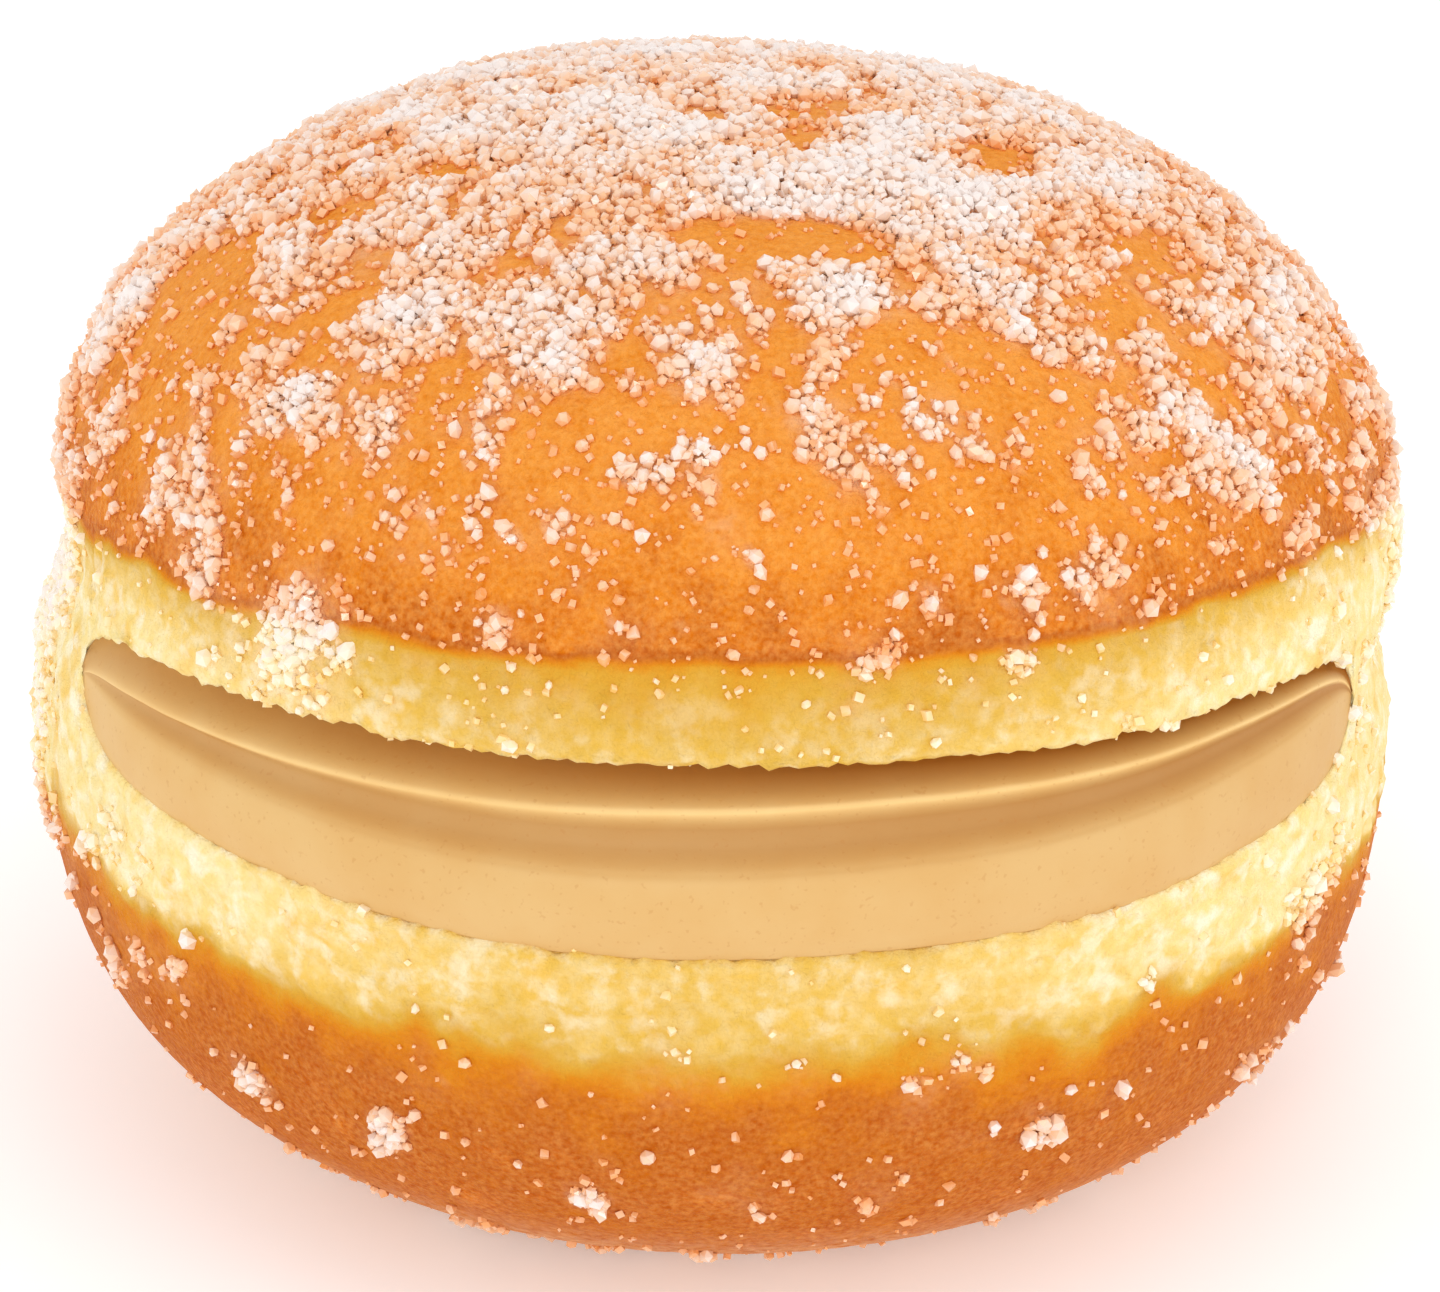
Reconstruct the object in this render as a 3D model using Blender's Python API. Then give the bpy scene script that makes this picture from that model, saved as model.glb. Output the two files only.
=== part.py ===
"""A berliner doughnut, cut open at the front and filled with caramel cream.

The bun is one piece of fried dough. It is sliced along its pale waist from the front nearly to the
back, and the cream lifts its top half like a lid that turns on the uncut dough behind. The larger
crystals and clumps of its coarse sugar are fused to the crust. Metres, +Z up, the mouth towards -Y.
The origin is the middle of the small flat spot that the bun rests on.
"""
import math
import random

import bmesh
import bpy
from mathutils import Matrix, Vector, noise

# The bun before it is opened: an oblate ball, its heights measured from the cut
WAIST_RADIUS = 0.045
CROWN_HEIGHT = 0.0316
CROWN_FULLNESS = 2.3  # 2 is an ellipse, more is squarer
BASE_DEPTH = 0.0331
BASE_FULLNESS = 3.2
FOOT_LEVEL = -0.0326  # the flat spot that takes off the lowest of it

# The mouth, and the hinge of uncut dough that the top half turns on
HINGE_BEHIND = 0.035  # behind the bun's middle
OPENING = math.radians(10.0)
MOUTH_CORNER = math.radians(70)  # each side of the front
CORNER_BLUNTNESS = 20
WAIST_STRETCH = 0.010  # the uncut waist takes up the lift over this height, each side of the cut
LIP_ROUND = 0.0003
POCKET_BLUNTNESS = 16
POCKET_BACK = 0.022  # the pocket's end, behind the bun's middle
POCKET_BACK_CURVE = 0.010
POCKET_HALF_WIDTH = 0.031  # at that end

# The dough's own unevenness, and a fold near the top of the crown
LUMP_HEIGHT = 0.0006
LUMP_SIZE = 0.024
FOLD_MIDDLE = Vector((0.0085, -0.0170))  # seen from above
FOLD_LENGTH = 0.008
FOLD_WIDTH = 0.0035
FOLD_DEPTH = 0.0010

# Broad swellings and hollows: angle from the front and reach each side of it in degrees, height above
# the cut and reach each side of it, and how far the crust stands out
SWELLINGS = (
    (-95, 36, -0.0060, 0.0070, 0.0008),  # the waist bulges on the left
    (-98, 30, 0.0032, 0.0034, -0.0020),  # and the dough is drawn in above it
    (98, 20, -0.0006, 0.0020, -0.0020),  # the cut runs on round the right as a crease
    (-125, 40, 0.0240, 0.0100, 0.0003),
    (100, 30, 0.0100, 0.0060, 0.0003),
    (-60, 35, -0.0240, 0.0080, 0.0004),
)

# The cream's free face from the lower lip up: inset from the lips, share of the gap, and how much that
# share grows towards the right corner and towards both corners
CREAM_CLEARANCE = 0.0003
CREAM_CORNER_FILL = 0.95  # share of the inset that is gone at the mouth's corners
CREAM_CORNER_POWER = 6  # more keeps the inset longer on the way there
CREAM_FACE = (
    (0.0000, 0.0, 0.0, 0.0),
    (-0.0004, 0.09, 0.01, 0.02),
    (-0.0006, 0.24, 0.04, 0.08),
    (-0.0002, 0.39, 0.07, 0.13),
    (0.0004, 0.44, 0.07, 0.14),
    (0.0019, 0.51, 0.08, 0.12),
    (0.0022, 0.61, 0.08, 0.06),
    (0.0013, 0.72, 0.10, -0.03),
    (0.0017, 0.77, 0.09, -0.03),
    (0.0038, 0.86, 0.06, -0.02),
    (0.0068, 1.0, 0.0, 0.0),
)

# Mesh density
SEGMENTS = 60
MOUTH_SEGMENTS = 12  # of those, from the front to each corner of the mouth
RINGS = 30
RING_CROWDING = 1.35  # over 1 draws the rings towards the waist
MOUTH_CROWDING = 0.8  # share of a sine, which draws the columns towards the mouth's corners
POCKET_ROWS = 8
SLIT_END = math.tau * MOUTH_SEGMENTS / SEGMENTS

# Sugar
SUGAR_SEED = 7
CLUMP_COUNT = 90
CLUMP_RADII = (0.00080, 0.00125)
CRYSTAL_COUNT = 100
CRYSTAL_SIDES = (0.0009, 0.0013)
GRAIN_SUNK = 0.35  # share of its radius below the crust
GRAIN_SPACING = 0.0014
BARE_LIP = 0.0032  # no grains this near the mouth
SUGAR_PATCH_SIZE = 0.0055

# Drifts of sugar on the crust, and bare patches: angle from the front and latitude in degrees, reach,
# and how much more sugar clings there, below 0 on bare patches
SUGAR_DRIFTS = (
    (-20, 38, 0.0030, 0.70),
    (-17, 33, 0.0020, 0.70),
    (-40, 34, 0.0030, 0.60),
    (-62, 37, 0.0030, 0.60),
    (-57, 16, 0.0032, 0.45),
    (-46, 25, 0.0022, 0.60),
    (-35, 26, 0.0016, 0.70),
    (-50, 12, 0.0026, 0.45),
    (-84, 24, 0.0040, 0.50),
    (9, 30, 0.0022, 0.55),
    (-2, 26, 0.0015, 0.70),
    (14, 44, 0.0036, 0.50),
    (38, 41, 0.0046, 0.45),
    (51, 24, 0.0030, 0.50),
    (55, 18, 0.0036, 0.50),
    (84, 27, 0.0070, 0.50),
    (20, 61, 0.0034, 1.00),
    (40, 56, 0.0036, 0.90),
    (-88, 4, 0.0070, 0.60),
    (88, 4, 0.0070, 0.45),
    (-44, -22, 0.0012, 1.00),
    (-29, -21, 0.0012, 1.00),
    (-11, -25, 0.0012, 1.00),
    (30, -20, 0.0011, 0.80),
    (-66, 24, 0.0040, -0.60),
    (-64, 52, 0.0026, -0.60),
    (38, 80, 0.0034, -0.70),
    (70, 56, 0.0024, -0.80),
    (12, 52, 0.0036, -0.90),
)

CRUST_COLOUR = (0.72, 0.27, 0.045, 1.0)
CREAM_COLOUR = (0.80, 0.48, 0.17, 1.0)


def smooth(low, high, value):
    """0 below low, 1 above high, and a smooth step between them."""
    share = min(1.0, max(0.0, (value - low) / (high - low)))
    return share * share * (3 - 2 * share)


def opened(point, lift):
    """The point turned about the hinge by this share of the opening."""
    turned = Matrix.Rotation(-OPENING * lift, 3, "X")
    hinge = Vector((0, HINGE_BEHIND, 0))
    return turned @ (point - hinge) + hinge


def gape(turn):
    """How far the mouth is open at an angle from the front: 1 in the middle, 0 from its corners on."""
    share = min(1.0, abs(turn) / MOUTH_CORNER)
    return math.sqrt(1 - share**CORNER_BLUNTNESS)


def profile(latitude):
    """Radius and height of the smooth closed bun at an angle above the cut."""
    height, fullness = (CROWN_HEIGHT, CROWN_FULLNESS) if latitude >= 0 else (BASE_DEPTH, BASE_FULLNESS)
    across, up = math.cos(latitude), math.sin(latitude)
    reach = (abs(across) / WAIST_RADIUS) ** fullness + (abs(up) / height) ** fullness
    reach **= -1 / fullness
    return reach * across, reach * up


def unevenness(point):
    """How far the dough stands out from the smooth bun."""
    rise = LUMP_HEIGHT * noise.noise(point / LUMP_SIZE)
    turn = math.degrees(math.atan2(point.x, -point.y))
    for middle, turn_reach, height, height_reach, size in SWELLINGS:
        round_by = ((turn - middle + 180) % 360 - 180) / turn_reach
        up_by = (point.z - height) / height_reach
        rise += size * math.exp(-(round_by**2) - up_by**2)
    if point.z <= 0:
        return rise * smooth(0.85 * BASE_DEPTH, 0.4 * BASE_DEPTH, -point.z)
    along = (point.x - FOLD_MIDDLE.x) / FOLD_LENGTH
    across = (point.y - FOLD_MIDDLE.y) / FOLD_WIDTH
    return rise + FOLD_DEPTH * across * math.exp(-(along**2) - across**2)


def closed_point(turn, latitude):
    """A point of the crust before the bun is opened, on a sharp lip and an uncut foot."""
    radius, height = profile(latitude)
    point = Vector((radius * math.sin(turn), -radius * math.cos(turn), height))
    return point + point.normalized() * unevenness(point)


def outer_point(turn, latitude, side):
    """A point of the crust. Side is 1 above the cut and -1 below it, which matters on the lips."""
    point = closed_point(turn, latitude)
    point.z = max(point.z, FOOT_LEVEL)
    above_cut = abs(profile(latitude)[1])
    rounding = LIP_ROUND - math.sqrt(LIP_ROUND**2 - max(0.0, LIP_ROUND - above_cut) ** 2)
    open_share = gape(turn)
    point += Vector((-math.sin(turn), math.cos(turn), 0)) * rounding * open_share
    rise = math.sin(math.pi / 2 * min(1.0, above_cut / WAIST_STRETCH))
    lift = 0.5 + side * 0.5 * (open_share + (1 - open_share) * rise)
    return opened(point, lift) - Vector((0, 0, FOOT_LEVEL))


def pocket_way(turn):
    """Where the pocket starts at an angle from the front, and the way to its end, flat in the cut."""
    share = turn / MOUTH_CORNER
    start = closed_point(turn, 0.0)
    start += Vector((-math.sin(turn), math.cos(turn), 0)) * LIP_ROUND * gape(turn)
    end = Vector((POCKET_HALF_WIDTH * share, POCKET_BACK - POCKET_BACK_CURVE * share**2, 0))
    return start, end - start


def pocket_point(turn, depth, height_share, clearance=0.0):
    """A point in the pocket: depth 0 at the lips and 1 at its end, height_share 0 on its floor and 1
    on its ceiling, both kept this clearance away."""
    start, way = pocket_way(turn)
    point = start + way * depth
    half_lift = 0.5 * gape(turn) * math.sqrt(1 - max(0.0, depth) ** POCKET_BLUNTNESS)
    if clearance:
        gap = (HINGE_BEHIND - point.y) * math.sin(OPENING * 2 * half_lift)
        height_share = clearance / gap + height_share * (1 - 2 * clearance / gap)
    lift = 0.5 + half_lift * (2 * height_share - 1)
    return opened(point, lift) - Vector((0, 0, FOOT_LEVEL))


def crowded(even_turn):
    """The angle of a mesh column: a column on each corner of the mouth, and closer ones towards it."""
    share = abs(even_turn) / SLIT_END
    if share <= 1:
        turn = MOUTH_CORNER * ((1 - MOUTH_CROWDING) * share + MOUTH_CROWDING * math.sin(math.pi / 2 * share))
    else:
        turn = math.pi - (math.pi - abs(even_turn)) * (math.pi - MOUTH_CORNER) / (math.pi - SLIT_END)
    return math.copysign(turn, even_turn)


def pocket_row(row):
    """Depth of a row of the pocket, the rows closer together towards its end."""
    return math.sin(math.pi / 2 * row / POCKET_ROWS)


def new_object(name, mesh_from, colour, roughness):
    """The bmesh as an object with its own material."""
    mesh = bpy.data.meshes.new(name)
    mesh_from.to_mesh(mesh)
    mesh_from.free()
    material = bpy.data.materials.new(name)
    material.use_nodes = True
    shader = material.node_tree.nodes["Principled BSDF"]
    shader.inputs["Base Color"].default_value = colour
    shader.inputs["Roughness"].default_value = roughness
    shader.inputs["Metallic"].default_value = 0.0
    mesh.materials.append(material)
    made = bpy.data.objects.new(name, mesh)
    bpy.context.scene.collection.objects.link(made)
    return made


def make_bun():
    """The dough as a sphere whose front equator is slit, its edges drawn inwards to the pocket's end."""
    bm = bmesh.new()
    bmesh.ops.create_uvsphere(bm, u_segments=SEGMENTS, v_segments=RINGS, radius=1.0)
    turns = bm.verts.layers.float.new("turn")
    latitudes = bm.verts.layers.float.new("latitude")
    sides = bm.verts.layers.float.new("side")
    depths = bm.verts.layers.float.new("depth")
    flat = 1e-5
    for vert in bm.verts:
        vert[turns] = math.atan2(vert.co.x, -vert.co.y)
        latitude = math.asin(max(-1.0, min(1.0, vert.co.z)))
        share = abs(latitude) / (math.pi / 2)
        vert[latitudes] = math.copysign(share**RING_CROWDING * math.pi / 2, latitude)
        vert[sides] = 0.0 if abs(vert.co.z) < flat else math.copysign(1.0, vert.co.z)

    def in_mouth(vert):
        return abs(vert.co.z) < flat and abs(vert[turns]) < SLIT_END + flat

    slit = [edge for edge in bm.edges if all(in_mouth(vert) for vert in edge.verts)]
    bmesh.ops.split_edges(bm, edges=slit)
    rim = [edge for edge in bm.edges if edge.is_boundary]
    for vert in {vert for edge in rim for vert in edge.verts}:
        if abs(vert[turns]) < SLIT_END - flat:
            vert[sides] = math.copysign(1.0, sum(face.calc_center_median().z for face in vert.link_faces))
    for row in range(1, POCKET_ROWS + 1):
        made = bmesh.ops.extrude_edge_only(bm, edges=rim)["geom"]
        rim = [part for part in made if isinstance(part, bmesh.types.BMEdge) and part.is_boundary]
        for part in made:
            if isinstance(part, bmesh.types.BMVert):
                part[depths] = pocket_row(row)
    for vert in bm.verts:
        turn = crowded(vert[turns])
        if vert[depths]:
            vert.co = pocket_point(turn, vert[depths], 0.5 + 0.5 * vert[sides])
        else:
            vert.co = outer_point(turn, vert[latitudes], vert[sides])
    bmesh.ops.remove_doubles(bm, verts=bm.verts, dist=1e-6)
    bmesh.ops.recalc_face_normals(bm, faces=bm.faces)
    for face in bm.faces:
        face.smooth = True
    return new_object("bun", bm, CRUST_COLOUR, 0.6)


def cream_section(turn):
    """The cream's outline in one upright slice, from the back along the floor, up its face and back."""
    _, way = pocket_way(turn)
    depths = [pocket_row(row) for row in range(POCKET_ROWS - 1, 0, -1)]
    outline = [(depths[0], 0.5)]
    outline += [(depth, 0.0) for depth in depths]
    across = turn / MOUTH_CORNER
    for inset, share, rightward, outward in CREAM_FACE:
        inset *= 1 - CREAM_CORNER_FILL * across**CREAM_CORNER_POWER
        outline.append((inset / way.length, share + rightward * across + outward * across**2))
    outline += [(depth, 1.0) for depth in reversed(depths)]
    return outline + [(depths[0], 0.5)]


def make_cream():
    """The cream as a sheet with one column for each slice, closed to a tube and capped at both ends."""
    columns = [crowded(math.tau * k / SEGMENTS) for k in range(1 - MOUTH_SEGMENTS, MOUTH_SEGMENTS)]
    rows = len(cream_section(0.0))
    bm = bmesh.new()
    bmesh.ops.create_grid(bm, x_segments=len(columns) - 1, y_segments=rows - 1, size=1.0)
    for vert in bm.verts:
        turn = columns[round((vert.co.x + 1) / 2 * (len(columns) - 1))]
        depth, share = cream_section(turn)[round((vert.co.y + 1) / 2 * (rows - 1))]
        vert.co = pocket_point(turn, depth, share, CREAM_CLEARANCE)
    bmesh.ops.remove_doubles(bm, verts=bm.verts, dist=1e-6)
    bmesh.ops.holes_fill(bm, edges=bm.edges, sides=0)
    bmesh.ops.triangulate(bm, faces=[face for face in bm.faces if len(face.verts) > 4])
    bmesh.ops.recalc_face_normals(bm, faces=bm.faces)
    for face in bm.faces:
        face.smooth = True
    return new_object("caramel_cream", bm, CREAM_COLOUR, 0.4)


def sugar_cover(point):
    """Chance that sugar clings at a point of the closed bun: thick on the crown and its back, in drifts
    lower down, thin on the waist and the underside."""
    cover = 0.06
    if point.z > 0:
        level = point.z / CROWN_HEIGHT
        backward = 0.5 + 0.5 * point.y / WAIST_RADIUS
        cover += 0.40 * smooth(0.68, 0.94, level) + 0.34 * backward * smooth(0.25, 0.70, level)
    for turn, latitude, reach, strength in SUGAR_DRIFTS:
        middle = closed_point(math.radians(turn), math.radians(latitude))
        cover += strength * math.exp(-(((point - middle).length / reach) ** 2))
    cover += 0.5 * noise.noise(point / SUGAR_PATCH_SIZE + Vector((5, 1, 3)))
    return smooth(0.2, 0.7, cover)


def grain_places(draw, count, taken):
    """Spots on the crust, with their outward direction, spread by the sugar's cover."""
    places = []
    step = 0.02
    while len(places) < count:
        turn = draw.uniform(-math.pi, math.pi)
        latitude = math.asin(draw.uniform(-0.80, 1.0))
        radius, height = profile(latitude)
        closed = Vector((radius * math.sin(turn), -radius * math.cos(turn), height))
        near_lip = abs(height) < BARE_LIP and abs(turn) < MOUTH_CORNER + 0.1
        if near_lip or draw.random() > sugar_cover(closed):
            continue
        side = math.copysign(1.0, height)
        spot = outer_point(turn, latitude, side)
        if any((spot - other).length < GRAIN_SPACING for other in taken):
            continue
        east = outer_point(turn + step, latitude, side) - outer_point(turn - step, latitude, side)
        north = outer_point(turn, latitude + step, side) - outer_point(turn, latitude - step, side)
        taken.append(spot)
        places.append((spot, east.cross(north).normalized()))
    return places


def grain_object(name, bm, radius, spot, outward, draw, holder):
    """A grain set into the crust at a spot, turned at random about its own middle."""
    spin = Matrix.Rotation(draw.uniform(0, math.tau), 4, "Z") @ Matrix.Rotation(draw.uniform(-0.5, 0.5), 4, "X")
    stand = outward.to_track_quat("Z", "Y").to_matrix().to_4x4()
    middle = spot + outward * radius * (1 - 2 * GRAIN_SUNK)
    bm.transform(Matrix.Translation(middle) @ stand @ spin)
    mesh = bpy.data.meshes.new(name)
    bm.to_mesh(mesh)
    bm.free()
    holder.objects.link(bpy.data.objects.new(name, mesh))


def make_sugar(holder):
    """Clumps of crystals as uneven balls, and single crystals as uneven blocks."""
    draw = random.Random(SUGAR_SEED)
    taken = []
    for spot, outward in grain_places(draw, CLUMP_COUNT, taken):
        radius = draw.uniform(*CLUMP_RADII)
        bm = bmesh.new()
        bmesh.ops.create_icosphere(bm, subdivisions=1, radius=radius)
        for vert in bm.verts:
            vert.co *= draw.uniform(0.80, 1.15)
            vert.co.z *= 0.75
        grain_object("clump", bm, 0.75 * radius, spot, outward, draw, holder)
    for spot, outward in grain_places(draw, CRYSTAL_COUNT, taken):
        bm = bmesh.new()
        bmesh.ops.create_cube(bm, size=1.0)
        sides = Vector([draw.uniform(*CRYSTAL_SIDES) for _ in range(3)])
        bmesh.ops.scale(bm, vec=sides, verts=bm.verts)
        bmesh.ops.triangulate(bm, faces=bm.faces)
        grain_object("crystal", bm, 0.5 * min(sides), spot, outward, draw, holder)


def fuse(whole, holder):
    """Joins everything in the collection to the object, then drops the collection."""
    union = whole.modifiers.new("sugar", "BOOLEAN")
    union.operation = "UNION"
    union.solver = "EXACT"
    union.operand_type = "COLLECTION"
    union.collection = holder
    graph = bpy.context.evaluated_depsgraph_get()
    joined = bpy.data.meshes.new_from_object(whole.evaluated_get(graph))
    whole.modifiers.remove(union)
    whole.data = joined
    for part in list(holder.objects):
        bpy.data.objects.remove(part)
    bpy.data.collections.remove(holder)


def main():
    for old in list(bpy.data.objects):
        bpy.data.objects.remove(old)
    bun = make_bun()
    make_cream()
    holder = bpy.data.collections.new("sugar")
    bpy.context.scene.collection.children.link(holder)
    make_sugar(holder)
    bpy.context.view_layer.update()
    fuse(bun, holder)


main()
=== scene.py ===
# A berliner doughnut cut open at the front, with caramel cream and coarse sugar.
# Metres, +Z up, the mouth towards -Y, standing at the origin as the CAD part does.
import math

import bmesh
import bpy
import numpy as np
from mathutils import Matrix, Vector, noise


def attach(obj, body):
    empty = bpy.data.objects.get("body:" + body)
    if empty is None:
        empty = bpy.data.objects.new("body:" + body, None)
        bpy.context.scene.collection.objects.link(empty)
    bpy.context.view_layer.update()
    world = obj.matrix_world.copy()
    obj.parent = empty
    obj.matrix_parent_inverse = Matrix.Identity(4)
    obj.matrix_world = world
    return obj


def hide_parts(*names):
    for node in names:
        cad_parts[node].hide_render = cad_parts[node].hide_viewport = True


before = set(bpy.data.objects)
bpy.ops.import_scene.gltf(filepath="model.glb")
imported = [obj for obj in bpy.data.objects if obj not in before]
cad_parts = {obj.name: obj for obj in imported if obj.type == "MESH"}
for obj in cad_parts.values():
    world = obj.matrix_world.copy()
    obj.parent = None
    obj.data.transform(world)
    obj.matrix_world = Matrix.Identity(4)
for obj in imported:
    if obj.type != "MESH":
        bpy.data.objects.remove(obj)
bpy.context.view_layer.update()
print("frame loaded with", ", ".join(sorted(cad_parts)))

mm = 0.001
weldDistance = 1e-6  # metres, vertices nearer than this become one


# The bun: an oblate ball, heights from the cut, opened about a hinge of uncut dough at its back

bun = {
    "waistRadius": 45 * mm,
    "crownHeight": 31.6 * mm,
    "crownFullness": 2.3,
    "baseDepth": 33.1 * mm,
    "baseFullness": 3.2,
    "footLevel": -32.6 * mm,
    "hingeBehind": 35 * mm,
    "opening": math.radians(10),
    "mouthCorner": math.radians(70),
    "cornerBluntness": 20,
    "waistStretch": 10 * mm,
    "lipRound": 0.3 * mm,
    "pocketBluntness": 16,
    "pocketBack": 22 * mm,
    "pocketBackCurve": 10 * mm,
    "pocketHalfWidth": 31 * mm,
    "segments": 480,
    "mouthSegments": 100,  # of those, from the front to each corner
    "rings": 176,
    "ringCrowding": 1.2,
    "mouthCrowding": 0.35,
    "pocketRows": 10,
}
slitEnd = math.tau * bun["mouthSegments"] / bun["segments"]

relief = {
    "lumpHeight": 0.6 * mm,
    "lumpSize": 24 * mm,
    "calmBetween": (0.85, 0.4),  # shares of the base's depth, with no lumps past the first
    "foldMiddle": Vector((8.5, -17.0)) * mm,
    "foldLength": 8 * mm,
    "foldWidth": 3.5 * mm,
    "foldDepth": 1.0 * mm,
    "crumbHeight": 0.22 * mm,  # on the pale waist
    "crumbSize": 1.6 * mm,
    "shredHeight": 0.28 * mm,  # torn along the band, on the pale waist
    "shredSize": Vector((3.6, 3.6, 1.0)) * mm,
    "crustHeight": 0.05 * mm,
    "crustSize": 1.1 * mm,
    "crustBetween": (0.25, 0.6),  # how brown, with the crust's relief alone past the second
    "smoothFoot": (0.98, 0.85),  # shares of the base's depth, with no fine relief past the first
    "raggedLip": 0.40 * mm,
    "raggedSize": 1.0 * mm,
    "raggedReach": 1.6 * mm,
    "raggedDroop": 0.35,  # share of that by which both lips close the gap everywhere
}

# Broad swellings and hollows: angle and its reach in degrees, height and its reach, and rise in mm
swellings = (
    (-95, 36, -6.0, 7.0, 0.8),
    (-98, 30, 3.2, 3.4, -2.0),
    (98, 20, -0.6, 2.0, -2.0),
    (-125, 40, 24.0, 10.0, 0.3),
    (100, 30, 10.0, 6.0, 0.3),
    (-60, 35, -24.0, 8.0, 0.4),
)

# Place on the colour ramp, as heights from the cut in mm and the value there: pale crumb up to 0.4, the
# dark base about 0.7, and the crown's crust lighter again towards 1
browning = {
    "levels": (
        (-33.0, 0.62),
        (-28.0, 0.64),
        (-22.0, 0.70),
        (-15.0, 0.68),
        (-12.0, 0.64),
        (-10.2, 0.57),
        (-9.0, 0.49),
        (-7.6, 0.37),
        (-6.2, 0.24),
        (-3.0, 0.19),
        (0.0, 0.20),
        (2.0, 0.29),
        (6.2, 0.40),
        (7.3, 0.79),
        (9.5, 0.81),
        (13.0, 0.89),
        (20.0, 0.98),
        (32.0, 1.00),
    ),
    "crownSlant": 0.6 * mm,  # the crown's edge stands higher on the right
    "crownWander": 0.6 * mm,
    "baseWander": 2.6 * mm,
    "wanderSize": 9 * mm,
    "paintedSideLight": 0.38,  # painted light: how much paler the waist is at the sides
    "paleBetween": (0.3, 0.5),  # values between which that ends
    "blotches": 0.10,
    "blotchSize": 4 * mm,
}


def smooth(low, high, value):
    share = min(1.0, max(0.0, (value - low) / (high - low)))
    return share * share * (3 - 2 * share)


def layered(place, falloff, layers):
    # noise in layers, each half the size of the one before
    return noise.fractal(place, falloff, 2.0, layers)


def opened(point, lift):
    turned = Matrix.Rotation(-bun["opening"] * lift, 3, "X")
    hinge = Vector((0, bun["hingeBehind"], 0))
    return turned @ (point - hinge) + hinge


def gape(turn):
    # 1 in the middle of the mouth, 0 from its corners on
    share = min(1.0, abs(turn) / bun["mouthCorner"])
    return math.sqrt(1 - share ** bun["cornerBluntness"])


def profile(latitude):
    # radius and height of the smooth closed bun
    upper = latitude >= 0
    height = bun["crownHeight"] if upper else bun["baseDepth"]
    fullness = bun["crownFullness"] if upper else bun["baseFullness"]
    across, up = math.cos(latitude), math.sin(latitude)
    reach = (abs(across) / bun["waistRadius"]) ** fullness + (abs(up) / height) ** fullness
    reach **= -1 / fullness
    return reach * across, reach * up


def unevenness(point):
    rise = relief["lumpHeight"] * noise.noise(point / relief["lumpSize"])
    turn = math.degrees(math.atan2(point.x, -point.y))
    for middle, turnReach, height, heightReach, size in swellings:
        roundBy = ((turn - middle + 180) % 360 - 180) / turnReach
        upBy = (point.z / mm - height) / heightReach
        rise += size * mm * math.exp(-(roundBy**2) - upBy**2)
    if point.z <= 0:
        deep, shallow = (share * bun["baseDepth"] for share in relief["calmBetween"])
        return rise * smooth(deep, shallow, -point.z)
    along = (point.x - relief["foldMiddle"].x) / relief["foldLength"]
    across = (point.y - relief["foldMiddle"].y) / relief["foldWidth"]
    return rise + relief["foldDepth"] * across * math.exp(-(along**2) - across**2)


def closedPoint(turn, latitude):
    radius, height = profile(latitude)
    point = Vector((radius * math.sin(turn), -radius * math.cos(turn), height))
    return point + point.normalized() * unevenness(point)


def inwards(turn):
    return Vector((-math.sin(turn), math.cos(turn), 0))


def brownness(point):
    # of a point of the closed bun
    wander = layered(point / browning["wanderSize"], falloff=0.9, layers=4)
    if point.z > 0:
        slant = browning["crownSlant"] * point.x / bun["waistRadius"]
        height = point.z - slant + browning["crownWander"] * wander
    else:
        height = point.z + browning["baseWander"] * wander
    heights, values = zip(*browning["levels"])
    value = float(np.interp(height / mm, heights, values))
    pale = 1 - smooth(*browning["paleBetween"], value)
    # painted light: the pale waist lighter towards the sides
    value -= browning["paintedSideLight"] * (point.x / bun["waistRadius"]) ** 2 * pale
    blotches = layered(point / browning["blotchSize"], falloff=0.8, layers=3)
    return value + browning["blotches"] * value * blotches


def outerPoint(turn, latitude, side):
    # of the opened bun, with the relief of crumb, crust and torn lip
    closed = closedPoint(turn, latitude)
    point = closed.copy()
    aboveCut = abs(profile(latitude)[1])
    openShare = gape(turn)
    pale = 1 - smooth(*relief["crustBetween"], brownness(closed))
    crumb = layered(closed / relief["crumbSize"], falloff=0.7, layers=3)
    size = relief["shredSize"]
    alongBand = Vector((closed.x / size.x, closed.y / size.y, closed.z / size.z))
    shreds = layered(alongBand, falloff=0.8, layers=2)
    skin = noise.noise(closed / relief["crustSize"])
    foot = smooth(*relief["smoothFoot"], -closed.z / bun["baseDepth"])
    rise = pale * (relief["crumbHeight"] * crumb + relief["shredHeight"] * shreds)
    rise += (1 - pale) * relief["crustHeight"] * skin
    point += closed.normalized() * rise * foot
    nearLip = math.exp(-((aboveCut / relief["raggedReach"]) ** 2)) * openShare
    torn = layered(Vector((closed.x, closed.y, side)) / relief["raggedSize"], falloff=0.8, layers=3)
    point.z -= side * nearLip * relief["raggedLip"] * (relief["raggedDroop"] + torn)
    point.z = max(point.z, bun["footLevel"])
    rounding = bun["lipRound"] - math.sqrt(bun["lipRound"] ** 2 - max(0.0, bun["lipRound"] - aboveCut) ** 2)
    point += inwards(turn) * rounding * openShare
    awayFromCut = math.sin(math.pi / 2 * min(1.0, aboveCut / bun["waistStretch"]))
    lift = 0.5 + side * 0.5 * (openShare + (1 - openShare) * awayFromCut)
    return opened(point, lift) - Vector((0, 0, bun["footLevel"]))


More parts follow.
